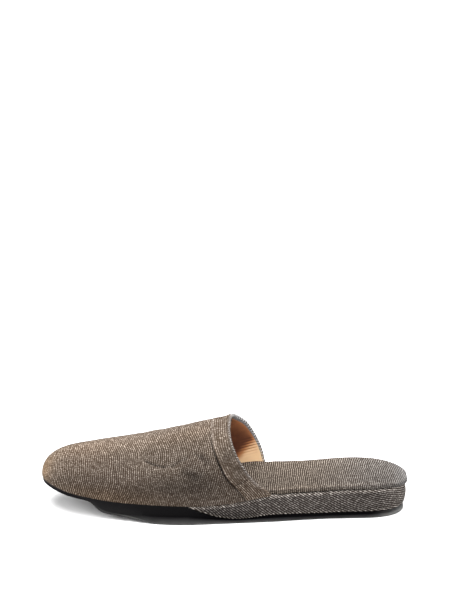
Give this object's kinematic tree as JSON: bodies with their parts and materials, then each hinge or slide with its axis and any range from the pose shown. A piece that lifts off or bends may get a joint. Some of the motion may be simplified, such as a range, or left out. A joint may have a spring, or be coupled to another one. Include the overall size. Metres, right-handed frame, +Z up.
{
  "type": "mule slipper",
  "caption": "Closed-toe cloth mule for the left foot: hollow vamp with a topline band, padded cloth footbed, low cloth-wrapped wedge heel and black rubber outsole.",
  "frame": {"origin": "on the floor, under the middle of the bounding box", "axes": "+X from the toe to the heel, +Y to the inner side of the foot, +Z up"},
  "size_m": [0.2819, 0.0967, 0.0679],
  "materials": {
    "upper_cloth": "grey-brown pepper twill with light flecks",
    "band_cloth": "the same twill, wales along the band",
    "footbed_cloth": "the same twill, wales across the foot",
    "wedge_cloth": "the same twill, wales slanting",
    "lining_leather": "tan lining leather, soft sheen",
    "sole_rubber": "matt black"
  },
  "bodies": {
    "root": {"outsole": "sole_rubber", "heel_wedge": "wedge_cloth", "footbed": "footbed_cloth", "upper": "upper_cloth", "topline_band": "band_cloth"}
  },
  "joints": []
}
